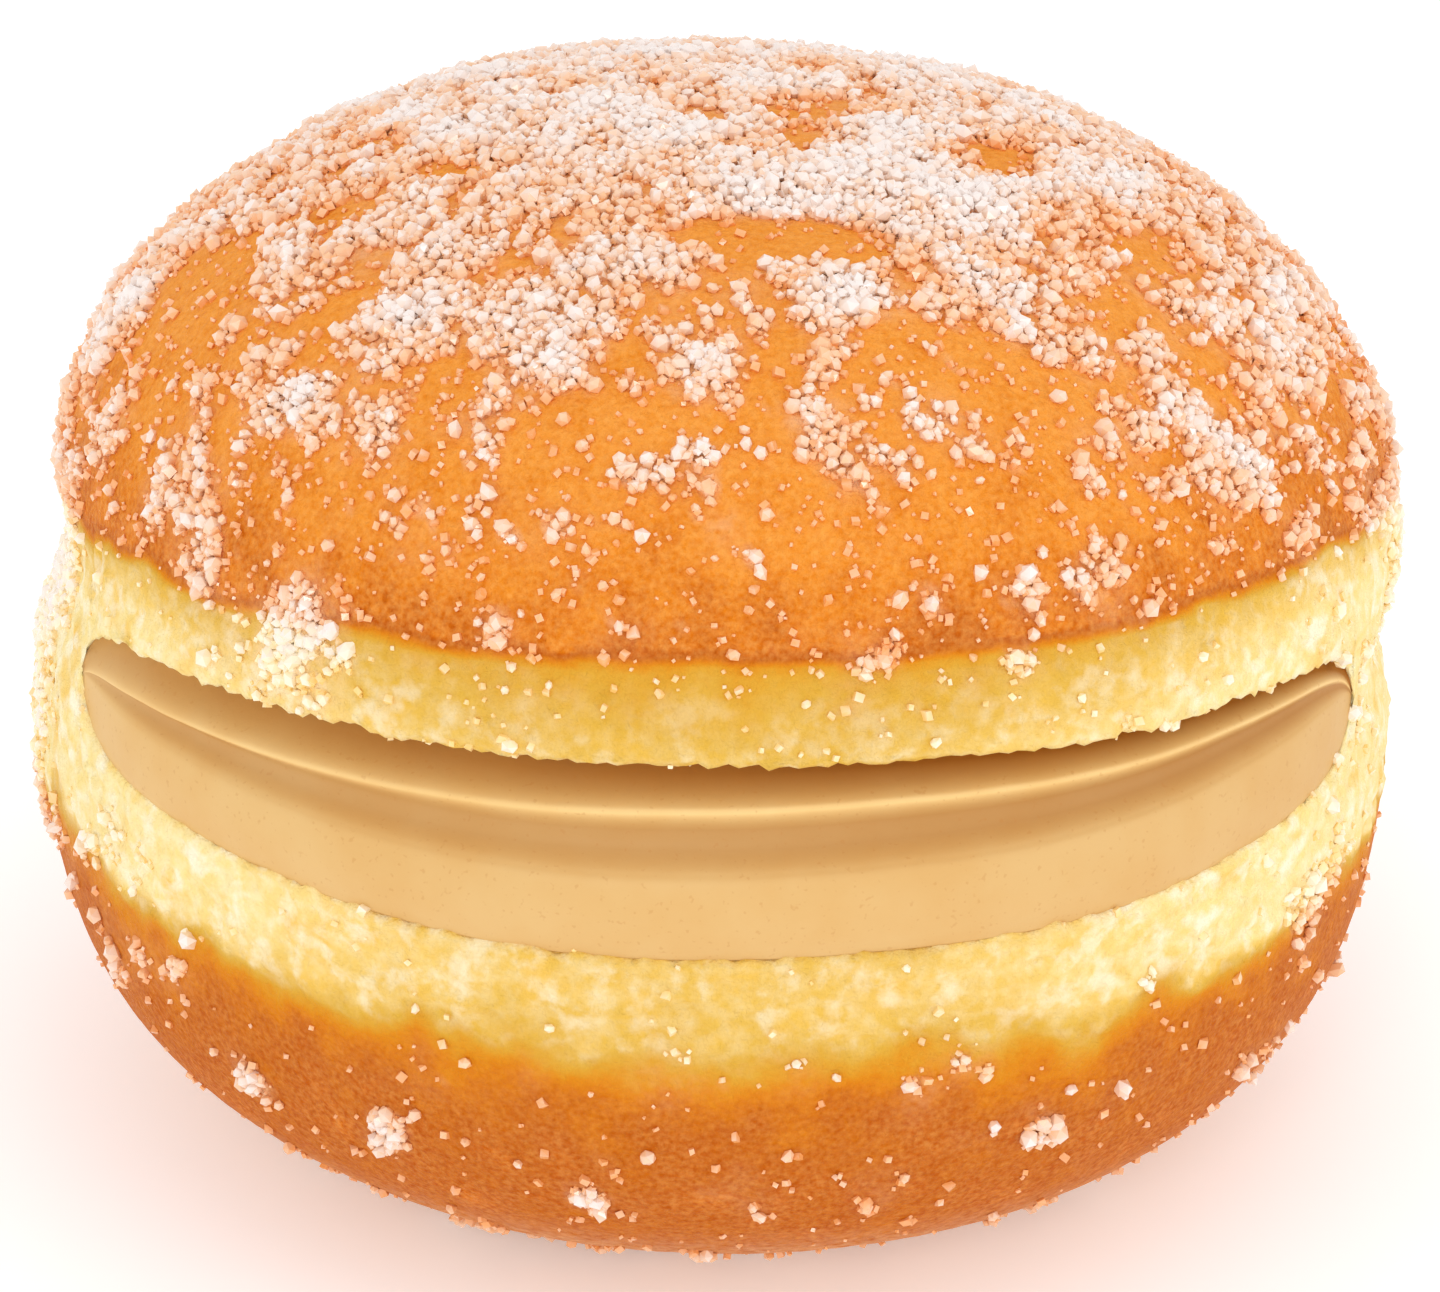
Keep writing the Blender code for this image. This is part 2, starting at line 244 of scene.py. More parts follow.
def pocketWay(turn):
    # where the pocket starts, and the way to its end, flat in the cut
    share = turn / bun["mouthCorner"]
    start = closedPoint(turn, 0.0) + inwards(turn) * bun["lipRound"] * gape(turn)
    end = Vector((bun["pocketHalfWidth"] * share, bun["pocketBack"] - bun["pocketBackCurve"] * share**2, 0))
    return start, end - start


def pocketPoint(turn, depth, heightShare, clearance=0.0):
    start, way = pocketWay(turn)
    point = start + way * depth
    halfLift = 0.5 * gape(turn) * math.sqrt(1 - max(0.0, depth) ** bun["pocketBluntness"])
    if clearance:
        gap = (bun["hingeBehind"] - point.y) * math.sin(bun["opening"] * 2 * halfLift)
        heightShare = clearance / gap + heightShare * (1 - 2 * clearance / gap)
    lift = 0.5 + halfLift * (2 * heightShare - 1)
    return opened(point, lift) - Vector((0, 0, bun["footLevel"]))


def crowded(evenTurn):
    # a mesh column's angle: one on each corner of the mouth, closer together towards it
    share = abs(evenTurn) / slitEnd
    crowding = bun["mouthCrowding"]
    if share <= 1:
        turn = bun["mouthCorner"] * ((1 - crowding) * share + crowding * math.sin(math.pi / 2 * share))
    else:
        turn = math.pi - (math.pi - abs(evenTurn)) * (math.pi - bun["mouthCorner"]) / (math.pi - slitEnd)
    return math.copysign(turn, evenTurn)


def pocketRow(row):
    return math.sin(math.pi / 2 * row / bun["pocketRows"])


# Where sugar clings: drifts that lie thick and patches that are bare, each as an angle and latitude in
# degrees on the bun, a reach in mm and a strength, bare ones below 0
sugar = {
    "drifts": (
        (-20, 38, 3.0, 0.7),
        (-17, 33, 2.0, 0.7),
        (-40, 34, 3.0, 0.6),
        (-62, 37, 3.0, 0.6),
        (-57, 16, 3.4, 0.65),
        (-46, 25, 2.4, 0.75),
        (-35, 26, 1.8, 0.85),
        (-50, 12, 2.8, 0.6),
        (-37, 10, 1.8, 0.5),
        (-38, 5, 3.6, 0.45),
        (-88, 4, 7.0, 0.8),
        (-84, -10, 5.0, 0.5),
        (88, 4, 7.0, 0.45),
        (-84, 24, 4.0, 0.5),
        (9, 30, 2.2, 0.55),
        (-2, 26, 1.5, 0.7),
        (-2, 36, 2.6, 0.4),
        (14, 44, 3.6, 0.5),
        (38, 41, 4.6, 0.45),
        (51, 24, 3.0, 0.5),
        (55, 18, 3.6, 0.5),
        (60, 12, 2.2, 0.35),
        (84, 27, 7.0, 0.5),
        (18, 14, 1.1, 0.6),
        (27, 13, 1.4, 0.5),
        (-19, 11, 1.0, 0.5),
        (20, 61, 3.4, 1.0),
        (40, 56, 3.6, 0.9),
        (14, 9, 1.1, 0.45),
        (26, 7, 1.1, 0.45),
        (-44, -22, 1.2, 1.0),
        (-29, -21, 1.2, 1.0),
        (-11, -25, 1.2, 1.0),
        (30, -20, 1.1, 0.8),
        (-64, 52, 2.6, -0.6),
        (38, 80, 3.4, -0.7),
        (70, 56, 2.4, -0.8),
        (12, 52, 3.6, -0.9),
        (3, 52, 3.0, -0.9),
        (20, 51, 2.8, -0.9),
        (8, 58, 2.0, 0.9),
        (-72, 33, 3.4, -0.6),
        (-66, 24, 4.0, -0.6),
        (-62, -8, 6.0, 0.35),
        (62, -8, 6.0, 0.35),
    ),
    "driftEnd": 2.5,  # where a drift stops, in reaches
    "everywhere": 0.06,
    "top": 0.40,
    "topBetween": (0.68, 0.94),  # shares of the crown's height
    "behind": 0.34,
    "behindBetween": (0.25, 0.7),  # shares of the crown's height
    "foot": 0.14,
    "footBetween": (0.7, 0.9),  # shares of the base's depth
    "patchSize": 5.5 * mm,
    "patchStart": Vector((5, 1, 3)),  # another one moves the patches
    "patches": 0.55,
    "gapSize": 1.4 * mm,
    "gaps": 0.75,
    "crownBetween": (0.15, 0.5),  # shares of its height, with patches and gaps in full past the second
    "edge": 0.22,  # how softly a clump thins out
    "filmBetween": (0.05, 0.85),
    "paintedRimLight": 0.95,  # painted rim light on the base's lower rim, in the sugar film's colour
    "paintedRimLightBetween": (0.66, 0.92),  # shares of the base's depth
    "thickBetween": (0.45, 1.25),
    "thickBehind": 0.25,
}
driftPoints = []
for turnDegrees, latitudeDegrees, driftReach, driftStrength in sugar["drifts"]:
    driftMiddle = closedPoint(math.radians(turnDegrees), math.radians(latitudeDegrees))
    driftPoints.append((driftMiddle, driftReach * mm, driftStrength))


def sugarOn(closed):
    # the film of sugar with the painted rim light on the base, the cover of grains and how thick they lie at
    # a point of the closed bun, from 0 to 1
    backward = 0.5 + 0.5 * closed.y / bun["waistRadius"]
    height = closed.z / bun["crownHeight"]
    depth = -closed.z / bun["baseDepth"]
    cover = sugar["everywhere"]
    if closed.z > 0:
        cover += sugar["top"] * smooth(*sugar["topBetween"], height)
        cover += sugar["behind"] * backward * smooth(*sugar["behindBetween"], height)
    else:
        cover += sugar["foot"] * smooth(*sugar["footBetween"], depth)
    for middle, reach, strength in driftPoints:
        away = (closed - middle).length / reach
        if away < sugar["driftEnd"]:
            cover += strength * math.exp(-(away**2))
    crown = smooth(*sugar["crownBetween"], height)
    patches = layered(closed / sugar["patchSize"] + sugar["patchStart"], falloff=1.0, layers=2)
    cover += sugar["patches"] * patches * (0.5 + 0.5 * crown)
    # painted rim light along the base's lower rim
    rim = sugar["paintedRimLight"] * smooth(*sugar["paintedRimLightBetween"], depth)
    filmAndRimLight = max(smooth(*sugar["filmBetween"], cover), rim)
    thick = smooth(*sugar["thickBetween"], cover + sugar["thickBehind"] * backward * crown)
    cover += sugar["gaps"] * noise.noise(closed / sugar["gapSize"]) * (0.5 + 0.5 * crown)
    return filmAndRimLight, smooth(0.5 - sugar["edge"], 0.5 + sugar["edge"], cover), thick


def addObject(name, bm, material):
    mesh = bpy.data.meshes.new(name)
    bm.to_mesh(mesh)
    bm.free()
    mesh.materials.append(material)
    made = bpy.data.objects.new(name, mesh)
    bpy.context.scene.collection.objects.link(made)
    return made


def makeBun(material):
    # a sphere whose front equator is slit, its edges drawn inwards to the pocket's end
    bm = bmesh.new()
    bmesh.ops.create_uvsphere(bm, u_segments=bun["segments"], v_segments=bun["rings"], radius=1.0)
    turns = bm.verts.layers.float.new("turn")
    latitudes = bm.verts.layers.float.new("latitude")
    sides = bm.verts.layers.float.new("side")
    depths = bm.verts.layers.float.new("depth")
    flat = 1e-5  # what still counts as on the equator
    for vert in bm.verts:
        vert[turns] = math.atan2(vert.co.x, -vert.co.y)
        latitude = math.asin(max(-1.0, min(1.0, vert.co.z)))
        share = abs(latitude) / (math.pi / 2)
        vert[latitudes] = math.copysign(share ** bun["ringCrowding"] * math.pi / 2, latitude)
        vert[sides] = 0.0 if abs(vert.co.z) < flat else math.copysign(1.0, vert.co.z)

    def inMouth(vert):
        return abs(vert.co.z) < flat and abs(vert[turns]) < slitEnd + flat

    slit = [edge for edge in bm.edges if all(inMouth(vert) for vert in edge.verts)]
    bmesh.ops.split_edges(bm, edges=slit)
    rim = [edge for edge in bm.edges if edge.is_boundary]
    for vert in {vert for edge in rim for vert in edge.verts}:
        if abs(vert[turns]) < slitEnd - flat:
            vert[sides] = math.copysign(1.0, sum(face.calc_center_median().z for face in vert.link_faces))
    for row in range(1, bun["pocketRows"] + 1):
        made = bmesh.ops.extrude_edge_only(bm, edges=rim)["geom"]
        rim = [part for part in made if isinstance(part, bmesh.types.BMEdge) and part.is_boundary]
        for part in made:
            if isinstance(part, bmesh.types.BMVert):
                part[depths] = pocketRow(row)
    brown = bm.verts.layers.float.new("brown")
    filmAndRimLight = bm.verts.layers.float.new("filmAndRimLight")
    cover = bm.verts.layers.float.new("cover")
    thick = bm.verts.layers.float.new("thick")
    for vert in bm.verts:
        turn = crowded(vert[turns])
        if vert[depths]:
            vert.co = pocketPoint(turn, vert[depths], 0.5 + 0.5 * vert[sides])
            vert[brown] = 0.0
        else:
            closed = closedPoint(turn, vert[latitudes])
            vert[brown] = brownness(closed)
            vert[filmAndRimLight], vert[cover], vert[thick] = sugarOn(closed)
            vert.co = outerPoint(turn, vert[latitudes], vert[sides])
    for name in ("turn", "latitude", "side"):
        bm.verts.layers.float.remove(bm.verts.layers.float[name])
    bmesh.ops.remove_doubles(bm, verts=bm.verts, dist=weldDistance)
    # the operators leave the faces in another order each run, and the grains' places hang on it
    bm.verts.index_update()
    ordered = sorted(bm.faces, key=lambda face: sorted(vert.index for vert in face.verts))
    ranks = {face: rank for rank, face in enumerate(ordered)}
    bm.faces.sort(key=ranks.get)
    bmesh.ops.recalc_face_normals(bm, faces=bm.faces)
    for face in bm.faces:
        face.smooth = True
    return addObject("bun_dough", bm, material)


# The cream: its free face from the lower lip up, as inset from the lips in mm, share of the gap, and how
# much that share grows towards the right corner and towards both corners
cream = {
    "clearance": 0.03 * mm,
    "cornerFill": 1.03,  # share of the inset that is gone at the mouth's corners
    "cornerPower": 6,
    "face": (
        (0.0, 0.0, 0.0, 0.0),
        (-0.4, 0.09, 0.01, 0.02),
        (-0.6, 0.24, 0.04, 0.08),
        (-0.2, 0.39, 0.07, 0.13),
        (0.4, 0.44, 0.07, 0.14),
        (1.9, 0.51, 0.08, 0.12),
        (2.2, 0.61, 0.08, 0.06),
        (1.3, 0.72, 0.10, -0.03),
        (1.7, 0.77, 0.09, -0.03),
        (3.8, 0.86, 0.06, -0.02),
        (6.8, 1.0, 0.0, 0.0),
    ),
    "finer": 6,  # rows for each step of the face
    "endColumn": 0.15,  # how far from the mouth's corner, of a column's width
    "paintedShade": (0.38, 0.38, 0.38, 0.38, 0.42, 0.72, 0.72, 0.0, 0.5, 1.0, 1.0),  # painted shade of each step: the recess and the slope under the upper lip darkened, the ridge left lightest as a painted highlight
    # the painted shade's share at the middle of the mouth
    "paintedShadeShare": 0.88,
    "paintedShadeRightward": 0.35,  # how much darker the painted shade is on the right
    "waveHeight": 0.10 * mm,
    "waveSize": 7 * mm,
    "waveDepth": 0.08,  # waves only nearer to the mouth than this share of the pocket
    "waveShares": (0.02, 0.98),  # and only between these shares of the gap
}


def between(rows, position):
    # a smooth curve through the rows, read at a fractional row number
    low = min(int(position), len(rows) - 2)
    share = position - low
    a, b, c, d = (np.array(rows[min(max(low + k, 0), len(rows) - 1)]) for k in (-1, 0, 1, 2))
    bend = 2 * a - 5 * b + 4 * c - d
    return b + 0.5 * share * (c - a + share * (bend + share * (3 * (b - c) + d - a)))


def creamSection(turn):
    length = pocketWay(turn)[1].length
    across = turn / bun["mouthCorner"]
    depths = [pocketRow(row) for row in range(bun["pocketRows"] - 1, 0, -1)]
    outline = [(depths[0], 0.5, 0.0)]
    outline += [(depth, 0.0, 0.0) for depth in depths]
    steps = (len(cream["face"]) - 1) * cream["finer"]
    for step in range(steps + 1):
        inset, share, rightward, outward = between(cream["face"], step / cream["finer"])
        inset *= 1 - cream["cornerFill"] * across ** cream["cornerPower"]
        share = min(1.0, max(0.0, share + rightward * across + outward * across**2))
        # painted shade and highlight of this row: the recess and the slope under the upper lip darker, the
        # ridge lightest, all darker towards the right
        paintedShade = np.interp(step / cream["finer"], range(len(cream["paintedShade"])), cream["paintedShade"])
        paintedShade *= cream["paintedShadeShare"] + cream["paintedShadeRightward"] * across * paintedShade
        outline.append((inset * mm / length, share, paintedShade))
    outline += [(depth, 1.0, 1.0) for depth in reversed(depths)]
    return outline + [(depths[0], 0.5, 1.0)]


def makeCream(material):
    last = bun["mouthSegments"] - 1
    end = bun["mouthSegments"] - cream["endColumn"]
    places = [-end, *range(-last, last + 1), end]
    columns = [crowded(math.tau * place / bun["segments"]) for place in places]
    sections = [creamSection(turn) for turn in columns]
    rows = len(sections[0])
    bm = bmesh.new()
    bmesh.ops.create_grid(bm, x_segments=len(columns) - 1, y_segments=rows - 1, size=1.0)
    # each vertex keeps its painted shade
    paintedShades = bm.verts.layers.float.new("paintedShade")
    lowest, highest = cream["waveShares"]
    for vert in bm.verts:
        column = round((vert.co.x + 1) / 2 * (len(columns) - 1))
        depth, share, vert[paintedShades] = sections[column][round((vert.co.y + 1) / 2 * (rows - 1))]
        point = pocketPoint(columns[column], depth, share, cream["clearance"])
        if depth < cream["waveDepth"] and lowest < share < highest:
            wave = layered(point / cream["waveSize"], falloff=1.0, layers=2)
            point -= inwards(columns[column]) * cream["waveHeight"] * wave
        vert.co = point
    bmesh.ops.remove_doubles(bm, verts=bm.verts, dist=weldDistance)
    bmesh.ops.holes_fill(bm, edges=bm.edges, sides=0)
    bmesh.ops.triangulate(bm, faces=[face for face in bm.faces if len(face.verts) > 4])
    bmesh.ops.recalc_face_normals(bm, faces=bm.faces)
    for face in bm.faces:
        face.smooth = True
    return addObject("cream_filling", bm, material)


# Materials

def seen(red, green, blue):
    # a colour as a screen shows it, 0 to 255, to the shader's own scale
    scaled = [value / 255 for value in (red, green, blue)]
    linear = [value / 12.92 if value <= 0.04045 else ((value + 0.055) / 1.055) ** 2.4 for value in scaled]
    return linear + [1.0]


def newMaterial(name, roughness):
    material = bpy.data.materials.new(name)
    material.use_nodes = True
    shader = material.node_tree.nodes["Principled BSDF"]
    shader.inputs["Roughness"].default_value = roughness
    return material, material.node_tree, shader


def speckGroup():
    # even noise as a mask from 0 to 1, at a size in millimetres
    group = bpy.data.node_groups.new("fineGrain", "ShaderNodeTree")
    for label, value in (("Size mm", 1.0), ("Detail", 3.0), ("Low", 0.35), ("High", 0.65)):
        socket = group.interface.new_socket(label, in_out="INPUT", socket_type="NodeSocketFloat")
        socket.default_value = value
    group.interface.new_socket("Mask", in_out="OUTPUT", socket_type="NodeSocketFloat")
    nodes, links = group.nodes, group.links
    given = nodes.new("NodeGroupInput")
    result = nodes.new("NodeGroupOutput")
    coordinates = nodes.new("ShaderNodeTexCoord")
    scale = nodes.new("ShaderNodeMath")
    scale.operation = "DIVIDE"
    scale.inputs[0].default_value = 1 / mm
    pattern = nodes.new("ShaderNodeTexNoise")
    limits = nodes.new("ShaderNodeMapRange")
    links.new(given.outputs["Size mm"], scale.inputs[1])
    links.new(coordinates.outputs["Object"], pattern.inputs["Vector"])
    links.new(scale.outputs[0], pattern.inputs["Scale"])
    links.new(given.outputs["Detail"], pattern.inputs["Detail"])
    links.new(pattern.outputs["Fac"], limits.inputs["Value"])
    links.new(given.outputs["Low"], limits.inputs["From Min"])
    links.new(given.outputs["High"], limits.inputs["From Max"])
    links.new(limits.outputs["Result"], result.inputs["Mask"])
    return group


def speck(tree, size, low=0.35, high=0.65, detail=3.0):
    node = tree.nodes.new("ShaderNodeGroup")
    node.node_tree = bpy.data.node_groups["fineGrain"]
    for label, value in (("Size mm", size), ("Detail", detail), ("Low", low), ("High", high)):
        node.inputs[label].default_value = value
    return node.outputs["Mask"]


def mixed(tree, share, first, second):
    # a colour mix: each of the three may be a value or a socket
    node = tree.nodes.new("ShaderNodeMix")
    node.data_type = "RGBA"
    for label, value in (("Factor", share), ("A", first), ("B", second)):
        socket = next(s for s in node.inputs if s.name == label and s.enabled)
        if isinstance(value, bpy.types.NodeSocket):
            tree.links.new(value, socket)
        else:
            socket.default_value = value
    return next(s for s in node.outputs if s.enabled)


def calculated(tree, operation, first, second, third=0.0, clamp=False):
    node = tree.nodes.new("ShaderNodeMath")
    node.operation = operation
    node.use_clamp = clamp
    for socket, value in zip(node.inputs, (first, second, third)):
        if isinstance(value, bpy.types.NodeSocket):
            tree.links.new(value, socket)
        else:
            socket.default_value = value
    return node.outputs[0]


def stored(tree, name):
    node = tree.nodes.new("ShaderNodeAttribute")
    node.attribute_name = name
    return node.outputs["Fac"]


def bumped(tree, shader, height, strength, distance):
    node = tree.nodes.new("ShaderNodeBump")
    node.inputs["Strength"].default_value = strength
    node.inputs["Distance"].default_value = distance
    tree.links.new(height, node.inputs["Height"])
    tree.links.new(node.outputs["Normal"], shader.inputs["Normal"])


doughLook = {
    # how brown, and the colour there
    "ramp": (
        (0.00, seen(250, 226, 152)),
        (0.12, seen(243, 201, 102)),
        (0.24, seen(224, 178, 70)),
        (0.36, seen(219, 167, 56)),
        (0.48, seen(222, 142, 24)),
        (0.58, seen(216, 120, 10)),
        (0.70, seen(168, 66, 0)),
        (0.80, seen(214, 108, 0)),
        (0.90, seen(235, 138, 28)),
        (1.00, seen(242, 153, 56)),
    ),
    "crustShare": (4.0, -2.0),  # times how brown, and plus: none up to 0.5, all from 0.75
    "crumbShare": (-2.6, 1.0),
    "pore": 0.09,  # how far the pores and patches move the place on the ramp
    "crumbLight": seen(255, 246, 210),
    "crumbFleck": seen(255, 250, 228),
    "crumbDeep": seen(244, 190, 66),
    "crustLight": seen(251, 178, 92),
    "crustDark": seen(214, 112, 16),
    "crustFilm": seen(249, 200, 154),
    "crumbFilm": seen(255, 238, 194),
    # patterns: size in mm, the noise's low and high, and its detail
    "pores": (0.5, 0.3, 0.7),
    "finePores": (0.25, 0.3, 0.7),
    "patches": (2.6, 0.3, 0.7),
    "lightMottle": (0.42, 0.3, 0.7, 2.0),
    "darkMottle": (0.6, 0.45, 0.75, 2.0),
    "fibres": (1.1, 0.35, 0.65),
    "hollows": (3.2, 0.52, 0.72),
    "flecks": (2.2, 0.50, 0.68, 5.0),
    "filmGrain": (0.8, 0.25, 0.65),
    # how strongly each colour shows
    "lightMottleShare": 0.42,
    "darkMottleShare": 0.35,
    "fibreShare": 0.45,
    "hollowShare": 0.7,
    "fleckShare": 0.65,
    "filmShare": 0.85,
    "roughness": 0.62,
    "specular": 0.08,
    "bump": 0.6,
    "bumpHeight": 0.12 * mm,
}


def doughMaterial():
    material, tree, shader = newMaterial("fried dough", doughLook["roughness"])

    def product(first, second):
        return calculated(tree, "MULTIPLY", first, second)

    def pattern(name):
        return speck(tree, *doughLook[name])

    def onBrown(name):
        times, plus = doughLook[name]
        return calculated(tree, "MULTIPLY_ADD", brown, times, plus, clamp=True)

    brown = stored(tree, "brown")
    pores = pattern("pores")
    shift = calculated(tree, "SUBTRACT", calculated(tree, "ADD", pores, pattern("patches")), 1.0)
    shift = product(shift, product(brown, doughLook["pore"]))
    ramp = tree.nodes.new("ShaderNodeValToRGB")
    ramp.color_ramp.interpolation = "B_SPLINE"
    while len(ramp.color_ramp.elements) < len(doughLook["ramp"]):
        ramp.color_ramp.elements.new(1.0)
    for element, (position, shade) in zip(ramp.color_ramp.elements, doughLook["ramp"]):
        element.position = position
        element.color = shade
    tree.links.new(calculated(tree, "ADD", brown, shift), ramp.inputs["Fac"])

    light = product(pattern("lightMottle"), doughLook["lightMottleShare"])
    dark = product(pattern("darkMottle"), doughLook["darkMottleShare"])
    crust = mixed(tree, light, ramp.outputs["Color"], doughLook["crustLight"])
    crust = mixed(tree, dark, crust, doughLook["crustDark"])
    colour = mixed(tree, onBrown("crustShare"), ramp.outputs["Color"], crust)

    crumb = onBrown("crumbShare")
    fibres = product(crumb, product(pattern("fibres"), doughLook["fibreShare"]))
    hollows = product(product(crumb, pattern("hollows")), doughLook["hollowShare"])
    flecks = product(product(crumb, pattern("flecks")), doughLook["fleckShare"])
    colour = mixed(tree, fibres, colour, doughLook["crumbLight"])
    colour = mixed(tree, hollows, colour, doughLook["crumbDeep"])
    colour = mixed(tree, flecks, colour, doughLook["crumbFleck"])

    # the sugar film, with the painted rim light along the base, lightens the colour
    filmAndRimLight = product(stored(tree, "filmAndRimLight"), pattern("filmGrain"))
    filmAndRimLight = calculated(tree, "MAXIMUM", filmAndRimLight, stored(tree, "cover"))
    filmColour = mixed(tree, crumb, doughLook["crustFilm"], doughLook["crumbFilm"])
    colour = mixed(tree, product(filmAndRimLight, doughLook["filmShare"]), colour, filmColour)
    tree.links.new(colour, shader.inputs["Base Color"])
    shader.inputs["Specular IOR Level"].default_value = doughLook["specular"]
    height = calculated(tree, "ADD", pores, pattern("finePores"))
    bumped(tree, shader, height, doughLook["bump"], doughLook["bumpHeight"])
    return material


creamLook = {
    "light": seen(241, 204, 138),
    "warm": seen(237, 195, 126),
    # the colour of the painted shade
    "shade": seen(168, 106, 40),
    "speck": seen(190, 126, 60),
    "warmPatches": (6.0,),  # patterns, as the dough's
    "specks": (0.4, 0.66, 0.74, 1.0),
    "grain": (0.8,),
    "speckShare": 0.25,
    "roughness": 0.45,
    "specular": 0.2,
    "bump": 0.2,
    "bumpHeight": 0.05 * mm,
}


def creamMaterial():
    material, tree, shader = newMaterial("caramel cream", creamLook["roughness"])
    colour = mixed(tree, speck(tree, *creamLook["warmPatches"]), creamLook["light"], creamLook["warm"])
    # painted shade: darker in the recess and under the upper lip, lightest on the ridge as a painted
    # highlight
    colour = mixed(tree, stored(tree, "paintedShade"), colour, creamLook["shade"])
    specks = calculated(tree, "MULTIPLY", speck(tree, *creamLook["specks"]), creamLook["speckShare"])
    colour = mixed(tree, specks, colour, creamLook["speck"])
    tree.links.new(colour, shader.inputs["Base Color"])
    shader.inputs["Specular IOR Level"].default_value = creamLook["specular"]
    bumped(tree, shader, speck(tree, *creamLook["grain"]), creamLook["bump"], creamLook["bumpHeight"])
    return material


sugarLook = {
    "white": seen(243, 231, 225),
    "overCrust": seen(242, 191, 145),
    "overCrumb": seen(252, 237, 200),
    "deepCrust": seen(242, 161, 80),  # towards the foot of a grain, partly the dough seen through it and partly painted shade
    "deepCrumb": seen(248, 208, 118),
    "crustFrom": (0.25, 0.35),  # how brown, and over how much more the crust's colours take over
    "thick": 0.62,  # how white grains are in heaps
    "paintedFacetGlints": 0.6,  # how much one grain's faces differ in whiteness at random, as painted glints
    "foot": 1.0,  # how much its foot takes on the deeper colour and its top the white: painted shade below and painted light above, partly the dough seen through the grain
    "clusters": 0.7,  # how much whiter some heaps are
    "clusterSize": 3.5 * mm,
    "single": 0.5,  # how much neighbours differ
    "piled": 0.3,  # how much whiter a grain on top of others is
    "cloud": (0.45, 0.3, 0.7),  # a pattern, as the dough's
    "cloudShare": 0.12,
    "roughness": 0.2,
    "index": 1.55,
    "specular": 0.8,
}


def sugarMaterial():
    material, tree, shader = newMaterial("sugar crystals", sugarLook["roughness"])
    tint = tree.nodes.new("ShaderNodeAttribute")
    tint.attribute_name = "tint"
    cloud = calculated(tree, "MULTIPLY", speck(tree, *sugarLook["cloud"]), sugarLook["cloudShare"])
    colour = mixed(tree, cloud, tint.outputs["Color"], sugarLook["white"])
    tree.links.new(colour, shader.inputs["Base Color"])
    shader.inputs["IOR"].default_value = sugarLook["index"]
    shader.inputs["Specular IOR Level"].default_value = sugarLook["specular"]
    return material


# Sugar, scattered over the dough

# Sizes, spacing and pile, how far they are piled up, in mm. Sink is the share of a grain in the dough, power
# below 1 lets drifts reach further, spread is how many lie outside them and thin how white the lone ones are
grains = {
    "sugar_large": {"kind": "ball", "count": 4500, "size": (0.95, 1.40), "spacing": 0.75, "sink": 0.30,
                    "pile": 0.4, "power": 1.5, "spread": 0.002, "thin": -0.1, "seed": 11},
    "sugar_coarse": {"kind": "ball", "count": 8000, "size": (0.65, 0.95), "spacing": 0.45, "sink": 0.25,
                     "pile": 0.5, "power": 1.2, "spread": 0.006, "thin": -0.3, "seed": 12},
    "sugar_medium": {"kind": "block", "count": 16000, "size": (0.34, 0.6), "spacing": 0.30, "sink": 0.32,
                     "pile": 0.5, "power": 0.8, "spread": 0.035, "thin": -1.1, "seed": 13},
    "sugar_fine": {"kind": "block", "count": 16000, "size": (0.18, 0.34), "spacing": 0.20, "sink": 0.25,
                   "pile": 0.2, "power": 0.8, "spread": 0.07, "thin": -1.0, "seed": 14},
}

# The same for all grains. The first two are a start, a length and the least share
grainRule = {
    "upFrom": (40, 8, 0.15),  # mm up the dough, for the ones outside drifts
    "brownFrom": (0.2, 0.3, 0.3),
    "foot": 0.8,  # mm up the dough, none lower
    "tries": 4,  # spots tried for each grain
    "deeperInCrumb": 0.12,  # added to their sink
    "smallerSizes": 1.5,  # a power above 1 makes small ones more common
    "stretch": (0.75, 1.25),
    "uneven": (0.82, 1.12),
}


def meshArrays(mesh):
    mesh.calc_loop_triangles()
    corners = np.empty(len(mesh.loop_triangles) * 3, np.int32)
    mesh.loop_triangles.foreach_get("vertices", corners)
    places = np.empty(len(mesh.vertices) * 3, np.float32)
    mesh.vertices.foreach_get("co", places)
    return corners.reshape(-1, 3), places.reshape(-1, 3).astype(float)


def storedValues(mesh, name):
    values = np.empty(len(mesh.vertices), np.float32)
    mesh.attributes[name].data.foreach_get("value", values)
    return values.astype(float)


def ramped(values, start, length, least=0.0):
    # from least to 1, reached a length after the start
    return np.clip((values - start) / length, least, 1)


def blended(first, second, share):
    return np.array(first) * (1 - share) + np.array(second) * share


